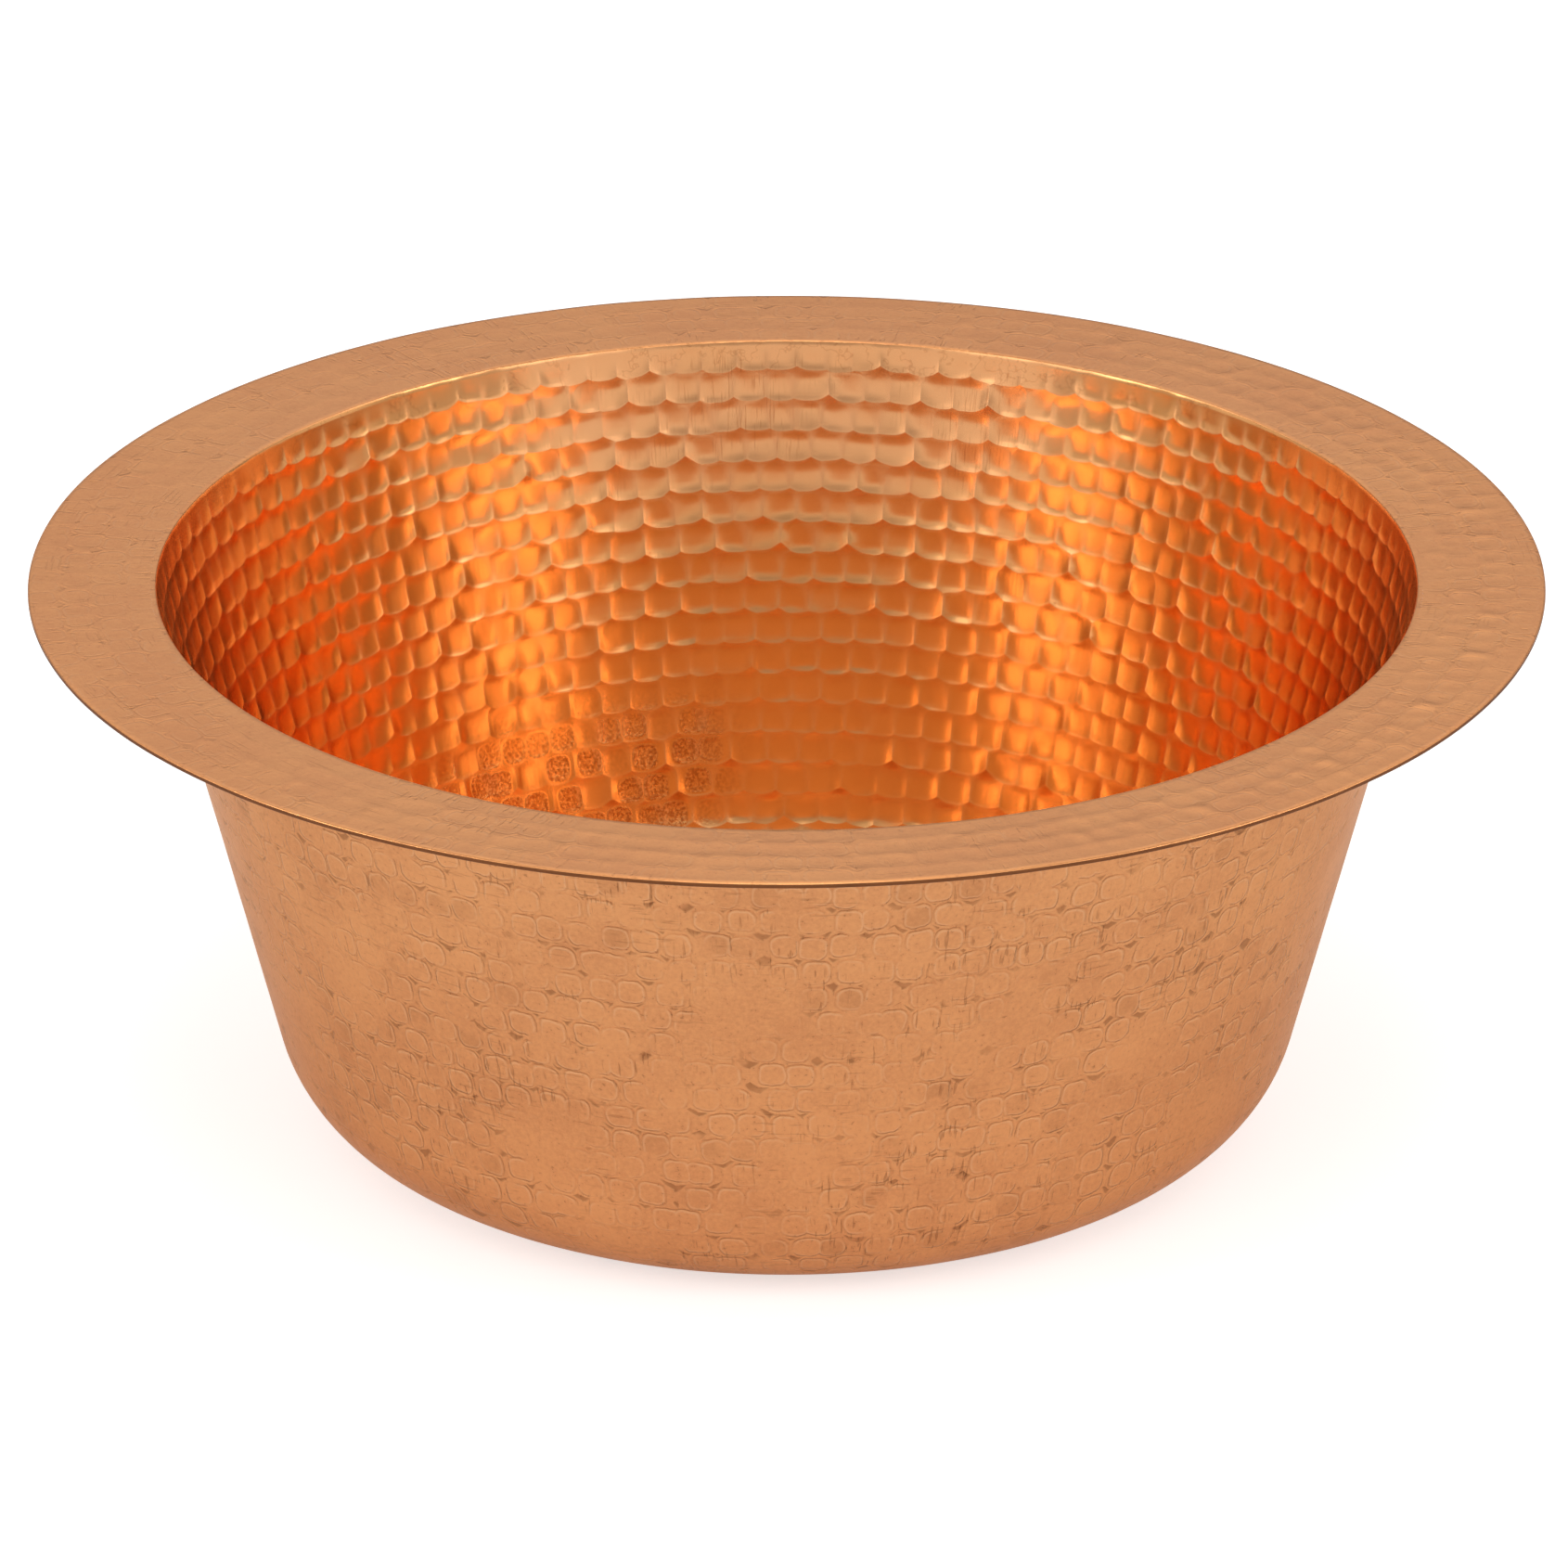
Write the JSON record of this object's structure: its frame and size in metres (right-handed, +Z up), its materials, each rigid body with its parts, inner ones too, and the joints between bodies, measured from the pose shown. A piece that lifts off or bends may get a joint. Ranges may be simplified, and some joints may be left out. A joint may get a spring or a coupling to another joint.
{
  "type": "hammered copper bowl",
  "caption": "Round hammered copper bowl with a wide flat rim, a tapered wall and a rounded flat-bottomed base, for resting on a surface or in a counter cut-out.",
  "frame": {"origin": "middle of the base, on the surface that the bowl stands on", "axes": "+Z up out of the bowl's mouth, along its axis"},
  "size_m": [0.356, 0.356, 0.136],
  "materials": {
    "polished_copper": "hammered and polished copper",
    "satin_copper": "satin copper",
    "weld_copper": "dressed copper weld"
  },
  "bodies": {
    "root": {"rim_ring": "satin_copper", "wall_band": "polished_copper", "base_dish": "polished_copper", "wall_seam_weld": "weld_copper", "base_seam_weld": "weld_copper", "rim_seam_weld": "weld_copper"}
  },
  "joints": []
}
